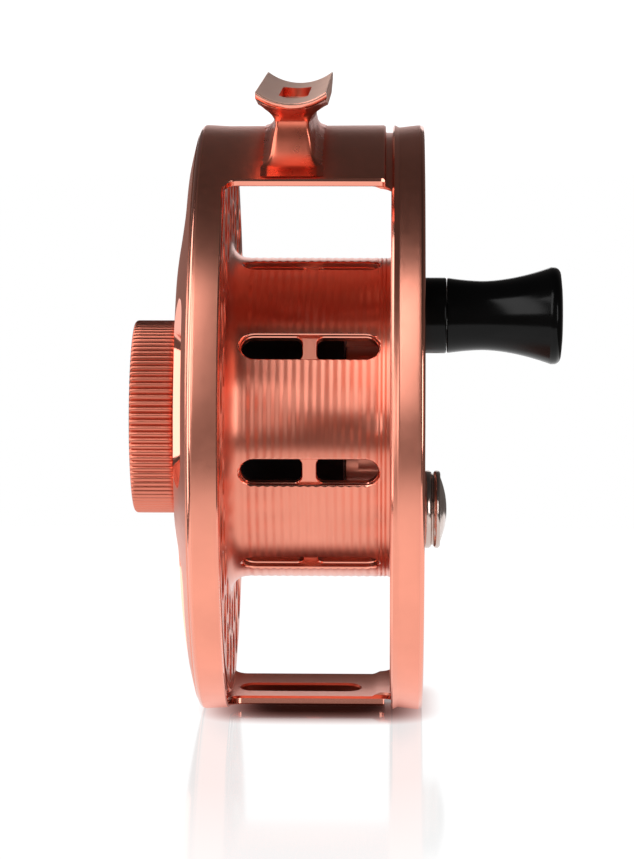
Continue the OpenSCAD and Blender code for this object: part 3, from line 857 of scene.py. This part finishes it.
def build_handle():
    """The flared grip and the collar that it spins on."""
    centre = (HANDLE_Y, HANDLE_Z)
    start, end = GRIP_LOW.x, GRIP_HIGH.x
    outline = [(start + 0.02, 2.6), (start + 0.02, 6.45), (start + 0.15, 6.7)]
    waist_x, waist_r, lip_x = start + 6.4, 6.19, end - 1.9
    for i in range(17):
        x = start + 0.35 + (waist_x - start - 0.35) * i / 16
        widening = 0.57 * ((waist_x - x) / (waist_x - start)) ** 1.7
        outline.append((x, waist_r + widening))
    for i in range(1, 29):
        u = i / 28
        outline.append((waist_x + (lip_x - waist_x) * u, waist_r + 2.5 * u ** 1.75))
    outline += arc(end - 1.55, 7.35, 1.35, 75, 10, 10)
    outline += [(end - 0.1, 6.6), (end, 5.6), (end, 4.2), (end - 0.15, 3.85), (end - 0.5, 3.7)]
    outline += [(end - 3.6, 3.7), (end - 3.6, 2.6)]
    black = [FINISHES["gloss_black"]]
    grip = revolved("handle_grip", outline, black, SMALL_SEGMENTS, centre)
    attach(grip, "handle_body")
    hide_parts("handle_knob")
    x0, x1 = COLLAR_LOW.x, COLLAR_HIGH.x
    outline = [(x0, SCREW_BORE_R), (x0, 6.78), (x1 - 0.45, 6.78)]
    outline += arc(x1 - 0.35, 6.43, 0.35, 90, 0, 5) + [(x1, SCREW_BORE_R)]
    collar = revolved("handle_boss", outline, black, SMALL_SEGMENTS, centre)
    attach(collar, "spool_body")
    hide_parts("handle_collar")


def build_counterweight():
    """The polished weight opposite the handle: two lobes, a groove between them and a dome."""
    centre = (-HANDLE_Y, -HANDLE_Z)
    x0, x1 = WEIGHT_LOW.x, WEIGHT_HIGH.x
    r = WEIGHT_LOBE_R
    outline = [(x0, SCREW_BORE_R), (x0, 7.5), (23.9, 7.5), (24.4, 7.67), (25.0, r)]
    outline += [(25.5, 7.7), (25.85, 7.5)]
    outline += [(26.05, 7.1), (26.3, 7.1), (26.5, 7.5), (26.75, 7.7)]
    outline += arc(27.0, r - 0.75, 0.75, 90, 10, 7)
    for i in range(15):
        u = 1 - i / 14
        outline.append((x1 - 1.25 * u ** 2.0, (r - 1.35) * u))
    outline += [(24, 0), (24, SCREW_BORE_R)]
    weight = revolved("polished_counterweight", outline, [WEIGHT], SMALL_SEGMENTS, centre)
    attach(weight, "spool_body")
    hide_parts("counterweight")


# ---------------------------------------------------------------- foot

SADDLE_R = 10.2
FOOT_HALF = FOOT_HIGH.y
FOOT_SIDE = FOOT_HIGH.x
TIP_THICKNESS = 1.1
MIDDLE_THICKNESS = 2.8
MIDDLE_HALF = 17.0
CREASE = -4.2
FLARE_TOP = -1.25
TONGUE_FLOOR = -13.3
SIDE_EDGE = 0.18
ACROSS_STEPS = 24
END_STEPS = 12
STATION_STEP = 2
WAIST, SWEEP_R, SWEEP_Z = 22.4, 7.74, -6.3
NECK_HALF, NECK_TAPER, NECK_FILLET = 3.05, 1.15, 1.5
FLARE_REACH, FLARE_POWER = 6.4, 1.6
BAR_CLEARANCE = 0.2
STRAIGHT_STEPS = 36
NECK_LEVELS, FLARE_LEVELS = 30, 16
SEAT_SEGMENTS = 240
FOOT_POCKET = (-16.9, 14.1, 5.4)


def at_seat(x, y, z):
    """A point in millimetres from the middle of the saddle, in metres."""
    return Vector((x, y, z)) * MM


def saddle_thickness(y):
    """How thick the foot's plate is at a distance along the rod: thin tips, thick middle."""
    run = min(max((FOOT_HALF - abs(y)) / (FOOT_HALF - MIDDLE_HALF), 0), 1)
    return TIP_THICKNESS + (MIDDLE_THICKNESS - TIP_THICKNESS) * run


def round_off(distance, radius):
    """How far a convex round of this radius falls back at a distance from its edge."""
    short = 1 - min(max(distance / radius, 0), 1)
    return radius * (1 - math.sqrt(1 - short * short))


def underside(x, y):
    """Height of the plate's lower face, from the middle of the saddle."""
    r = SADDLE_R + saddle_thickness(y)
    return SADDLE_R - math.sqrt(r * r - x * x)


def saddle_section(y):
    """One slice across the foot's plate: the saddle above, the polished round below."""
    from_end = FOOT_HALF - abs(y)
    top_drop = round_off(from_end, 0.25)
    bottom_rise = round_off(from_end, 0.95)
    thick = max(saddle_thickness(y) - bottom_rise, top_drop + 0.06)
    side, edge = FOOT_SIDE, SIDE_EDGE
    top, bottom = [], []
    for i in range(ACROSS_STEPS + 1):
        x = (side - edge) * (1 - 2 * i / ACROSS_STEPS)
        top.append((x, SADDLE_R - math.sqrt(SADDLE_R ** 2 - x * x) - top_drop))
        r = SADDLE_R + thick
        bottom.append((-x, SADDLE_R - math.sqrt(r * r - x * x)))
    lip = top[-1][1]
    heel = bottom[0][1]
    drop = min(edge, (lip - heel) / 3)
    left = [(-side + 0.05, lip - drop * 0.3), (-side, lip - drop)]
    left += [(-side, heel + drop), (-side + 0.05, heel + drop * 0.3)]
    right = [(-x, z) for x, z in reversed(left)]
    return [at_seat(x, y, z) for x, z in top + left + bottom + right]


def foot_plate():
    """The curved plate that lies against the rod, with polished ends and underside."""
    stations = []
    for i in range(END_STEPS + 1):
        stations.append(FOOT_HALF - 1.0 + math.sin(math.pi / 2 * (END_STEPS - i) / END_STEPS))
    count = int((FOOT_HALF - STATION_STEP) / STATION_STEP) + 1
    stations += [FOOT_HALF - STATION_STEP - STATION_STEP * i for i in range(count)]
    ys = [-y for y in stations] + [y for y in reversed(stations) if y > 0.1]
    loops = [saddle_section(y) for y in ys]
    bm = bmesh.new()
    made = grid(bm, loops)
    bm.faces.new(made[0])
    bm.faces.new(list(reversed(made[-1])))
    for face in bm.faces:
        centre = face.calc_center_median() / MM
        saddle = SADDLE_R - math.sqrt(SADDLE_R ** 2 - min(abs(centre.x), FOOT_SIDE) ** 2)
        near_end = FOOT_HALF - abs(centre.y) < 1.0
        on_side = abs(centre.x) > FOOT_SIDE - 0.12
        # The saddle's upward faces take the paler matt material: painted light from above.
        face.material_index = int(centre.z < saddle - 0.12 and (near_end or not on_side))
    bmesh.ops.recalc_face_normals(bm, faces=bm.faces)
    return finish_mesh(bm, "foot_plate", [SADDLE_MATT_PAINTED_TOP_LIGHT, BRIGHT], 40)


def pedestal_front(z):
    """How far the pedestal reaches along the rod at a height below the saddle."""
    lift = z - SWEEP_Z
    tongue = WAIST + SWEEP_R - math.sqrt(max(SWEEP_R ** 2 - lift ** 2, 0))
    height = z + SEAT_HEIGHT
    on_bar = 0
    if height < REEL_R:
        on_bar = math.sqrt((REEL_R + BAR_CLEARANCE) ** 2 - height ** 2)
    return max(tongue, on_bar)


def pedestal_half_width(y, z):
    """Half the neck's width: it widens and rounds out where it meets the top bar."""
    above_bar = max(math.hypot(y, z + SEAT_HEIGHT) - REEL_R, 0)
    taper = NECK_TAPER * max(1 - above_bar / 5.5, 0) ** 0.9
    return NECK_HALF + taper + round_off(above_bar, NECK_FILLET)


def flare(u):
    """How far the neck has spread at a share u of its flare."""
    return 1 - (1 - u ** FLARE_POWER) ** (1 / FLARE_POWER)


def pedestal_loop(z, u):
    """A level of the pedestal. u runs from 0 at the crease to 1 under the saddle."""
    spread = flare(u)
    reach = pedestal_front(min(z, CREASE)) + FLARE_REACH * spread
    corner = 0.7 + 5.2 * u ** 1.5
    loop = []

    def place(x_share, y):
        half = pedestal_half_width(y, min(z, CREASE))
        half += (FOOT_SIDE - 0.06 - half) * spread
        x = x_share * half
        lift = 0
        if u > 0:
            lift = u ** 2 * max(underside(x, y) - 0.03 - FLARE_TOP, 0)
        loop.append(at_seat(x, y, z + lift))

    for side in (1, -1):
        for i in range(STRAIGHT_STEPS):
            place(side, side * (-1 + 2 * i / STRAIGHT_STEPS) * (reach - corner))
        for i in range(BEND_STEPS + 1):
            a = math.pi / 2 * i / BEND_STEPS
            half = max(pedestal_half_width(side * reach, min(z, CREASE)), corner + 0.1)
            share = 1 - corner * (1 - math.cos(a)) / half
            place(side * share, side * (reach - corner + corner * math.sin(a)))
        for i in range(1, 10):
            place(side * (1 - 2 * i / 10) * (1 - corner / half), side * reach)
        for i in range(BEND_STEPS, 0, -1):
            a = math.pi / 2 * i / BEND_STEPS
            share = 1 - corner * (1 - math.cos(a)) / half
            place(-side * share, side * (reach - corner + corner * math.sin(a)))
    return loop


def pedestal():
    """The flared neck between the top bar and the plate."""
    height = CREASE - TONGUE_FLOOR
    levels = [(TONGUE_FLOOR + height * i / NECK_LEVELS, 0) for i in range(NECK_LEVELS + 1)]
    for i in range(1, FLARE_LEVELS + 1):
        u = math.sin(math.pi / 2 * i / FLARE_LEVELS)
        levels.append((CREASE + (FLARE_TOP - CREASE) * u, u))
    loops = [pedestal_loop(z, u) for z, u in levels]
    loops.append([p + Vector((0, 0, 0.35 * MM)) for p in loops[-1]])
    solid = cutter(loops)
    for face in solid.faces:
        face.material_index = 2
    return solid


def build_foot():
    """The foot: its plate and neck joined, seated on the top bar, with a long pocket above."""
    foot = foot_plate()
    # The neck takes the deeper red of NECK: a painted reflection of bounced copper light.
    combine(foot, [pedestal()], "UNION", [SADDLE_MATT_PAINTED_TOP_LIGHT, BRIGHT, NECK], 30)
    seat = []
    for x, r in ((-20, 0.5), (-20, REEL_R - 0.06), (20, REEL_R - 0.06), (20, 0.5)):
        turn = [2 * math.pi * k / SEAT_SEGMENTS for k in range(SEAT_SEGMENTS)]
        seat.append([around(x, r, angle) for angle in turn])
    combine(foot, [cutter(seat)], "DIFFERENCE", [SADDLE_MATT_PAINTED_TOP_LIGHT, BRIGHT], 30)
    pocket = [(y, x) for x, y in stadium_points(*FOOT_POCKET, 14)]
    pocket.reverse()

    def level(offset, z):
        return [at_seat(x, y, z) for x, y in widened(pocket, offset)]

    loops = [level(0, -1.6), level(0, 0.05), level(0, 6)]
    # The pocket's walls take the neck's deeper red: a painted reflection.
    combine(foot, [cutter(loops, bright=(0, 1))], "DIFFERENCE", [SADDLE_MATT_PAINTED_TOP_LIGHT, NECK], 30)
    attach(foot, "frame_body")
    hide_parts("reel_foot")


# ---------------------------------------------------------------- view and light

EYE_HEIGHT = math.radians(8.8)
EYE_REACH, EYE_SIDE = 662, 18.7
AIM = Vector((3.95, 0, -2.4))
FLOOR_GAP = 0.0002
FLOOR_CORNERS = ((-0.12, -0.22), (0.12, -0.22), (0.12, 0.18), (-0.12, 0.18))
SHEET_Y, SHEET_HALF, SHEET_HEIGHT = 1.2, 0.22, 0.4
# Middle and reach of the floor's painted contact shadow.
CONTACT_SHADOW_MIDDLE = (0.0045, 0, 0)
CONTACT_SHADOW_SCALE = (1 / 0.0235, 1 / 0.019, 0)
MIRROR_SCALE = (1.45, 0.9, 0)
MIRROR_FADE = (0.06, 0.17)


def build_camera():
    """A long lens in front, a little to the handle's side and above the spindle."""
    data = bpy.data.cameras.new("camera")
    data.lens = 146.7
    data.sensor_width = 36
    camera = bpy.data.objects.new("camera", data)
    level, up = EYE_REACH * math.cos(EYE_HEIGHT), EYE_REACH * math.sin(EYE_HEIGHT)
    place = Vector((EYE_SIDE, -level, up))
    camera.location = place * MM + Vector((0, 0, AXIS_Z))
    camera.rotation_euler = (AIM - place).to_track_quat("-Z", "Y").to_euler()
    bpy.context.scene.collection.objects.link(camera)
    bpy.context.scene.camera = camera


def vector_math(mat, operation, first, second=None):
    """A vector node on sockets or constant vectors. LENGTH gives a plain value."""
    made = node(mat, "ShaderNodeVectorMath", operation=operation)
    for target, source in zip(made.inputs, (first, second)):
        if isinstance(source, tuple):
            target.default_value = source
        elif source is not None:
            link(mat, source, target)
    return made.outputs["Value" if operation == "LENGTH" else "Vector"]


def floor_material():
    """White that mirrors a little near the reel, with a painted contact shadow under it, tinted copper-red as
    painted bounce light.
    """
    mat = bpy.data.materials.new("studio_white")
    mat.use_nodes = True
    mat.node_tree.nodes.clear()
    glow = node(mat, "ShaderNodeEmission")
    gloss = node(mat, "ShaderNodeBsdfGlossy", Roughness=0.1)
    mix = node(mat, "ShaderNodeMixShader")
    out = node(mat, "ShaderNodeOutputMaterial")
    fresnel = node(mat, "ShaderNodeFresnel", IOR=1.7)
    share = node(mat, "ShaderNodeMath", operation="MULTIPLY")
    place = node(mat, "ShaderNodeTexCoord").outputs["Object"]
    distance = vector_math(mat, "LENGTH", vector_math(mat, "MULTIPLY", place, MIRROR_SCALE))
    link(mat, mapped(mat, distance, MIRROR_FADE, (1, 0)), share.inputs[0])
    link(mat, fresnel.outputs["Fac"], share.inputs[1])
    link(mat, share.outputs[0], mix.inputs["Fac"])
    offset = vector_math(mat, "SUBTRACT", place, CONTACT_SHADOW_MIDDLE)
    scaled = vector_math(mat, "MULTIPLY", offset, CONTACT_SHADOW_SCALE)
    squared = vector_math(mat, "MULTIPLY", scaled, scaled)
    nearness = vector_math(mat, "LENGTH", squared)
    # Painted contact shadow: the floor's glow dims in an ellipse under the reel.
    shade = mapped(mat, nearness, (0.16, 1.0), (0.03, 1.1), interpolation_type="SMOOTHSTEP")
    link(mat, shade, glow.inputs["Strength"])
    # Painted bounce light: the glow turns copper-red near the reel.
    painted_bounce = ramp(mat, nearness, (0.1, (0.8, 0.2, 0.14)), (1.0, WHITE))
    link(mat, painted_bounce, glow.inputs["Color"])
    link(mat, glow.outputs[0], mix.inputs[1])
    link(mat, gloss.outputs[0], mix.inputs[2])
    link(mat, mix.outputs[0], out.inputs["Surface"])
    return mat


def build_floor():
    """A pale, lightly glossy floor, and a white sheet that stands low behind the reel."""
    floor_z = cad_low[2] - FLOOR_GAP
    bm = bmesh.new()
    bm.faces.new([bm.verts.new((x, y, floor_z)) for x, y in FLOOR_CORNERS])
    sheet = ((-SHEET_HALF, 0), (SHEET_HALF, 0), (SHEET_HALF, SHEET_HEIGHT),
             (-SHEET_HALF, SHEET_HEIGHT))
    bm.faces.new([bm.verts.new((x, SHEET_Y, floor_z + z)) for x, z in sheet])
    floor = finish_mesh(bm, "studio_floor", [floor_material()], 60)
    if floor.data.polygons[0].normal.z < 0:
        floor.data.flip_normals()


def build_world():
    """A dim studio whose walls the camera sees as white."""
    world = bpy.data.worlds.new("studio")
    world.use_nodes = True
    bpy.context.scene.world = world
    coords = node(world, "ShaderNodeTexCoord")
    split = node(world, "ShaderNodeSeparateXYZ")
    seen = node(world, "ShaderNodeLightPath")
    white = node(world, "ShaderNodeBackground")
    mix = node(world, "ShaderNodeMixShader")
    dim = world.node_tree.nodes["Background"]
    link(world, coords.outputs["Generated"], split.inputs[0])
    walls = ramp(world, split.outputs["Z"], (0.0, (0.13, 0.12, 0.115)), (0.9, (0.04, 0.04, 0.04)))
    link(world, walls, dim.inputs["Color"])
    white.inputs["Color"].default_value = (*WHITE, 1)
    link(world, seen.outputs["Is Camera Ray"], mix.inputs["Fac"])
    link(world, dim.outputs[0], mix.inputs[1])
    link(world, white.outputs[0], mix.inputs[2])
    link(world, mix.outputs[0], world.node_tree.nodes["World Output"].inputs["Surface"])


def softbox_at(name, azimuth, elevation, reach, width, height, radiance):
    """A softbox that faces the reel.

    Azimuth 0 is in front, and positive turns to the handle's side. Angles are in degrees.
    """
    a, e = math.radians(azimuth), math.radians(elevation)
    middle = Vector((0, 0, AXIS_Z))
    away = Vector((math.sin(a) * math.cos(e), -math.cos(a) * math.cos(e), math.sin(e)))
    data = bpy.data.lights.new(name, "AREA")
    data.shape = "RECTANGLE"
    data.size = width
    data.size_y = height
    data.energy = radiance * math.pi * width * height
    lamp = bpy.data.objects.new(name, data)
    lamp.location = middle + away * reach
    lamp.rotation_euler = away.to_track_quat("Z", "Y").to_euler()
    bpy.context.scene.collection.objects.link(lamp)


build_camera()
build_frame()
build_spool()
build_drag_knob()
build_handle()
build_counterweight()
build_foot()
build_floor()
build_world()
softbox_at("key_left", -22, 36, 0.8, 0.24, 0.72, 3.0)
softbox_at("key_wide", -55, 22, 0.8, 0.4, 0.8, 2.4)
softbox_at("side_left", -98, 12, 0.8, 0.5, 0.9, 2.4)
softbox_at("fill_right", 38, 12, 0.9, 0.3, 0.5, 3.6)
bpy.context.scene.view_settings.view_transform = "Standard"
